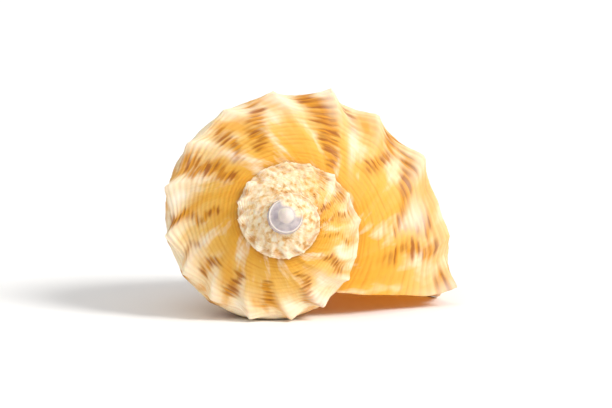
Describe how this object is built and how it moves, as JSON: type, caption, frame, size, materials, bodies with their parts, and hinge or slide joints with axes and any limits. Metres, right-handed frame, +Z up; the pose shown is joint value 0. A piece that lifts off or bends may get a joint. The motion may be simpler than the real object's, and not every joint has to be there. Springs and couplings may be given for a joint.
{
  "type": "rapana sea snail shell",
  "caption": "Empty coiled sea snail shell with a low spire, a spiny shoulder, a wide open mouth, a short canal and a scaly navel, lying on its mouth.",
  "frame": {"origin": "centre of the bounding box at its bottom, on the surface that the shell lies on", "axes": "+Z up as the shell lies on its mouth, -Y the side that the spire points to, +Y the side of the canal, +X from the spire towards the spine at the lip"},
  "size_m": [0.0718, 0.0708, 0.0537],
  "materials": {
    "shell_lime": "satin"
  },
  "bodies": {
    "root": {"shell": "shell_lime"}
  },
  "joints": []
}
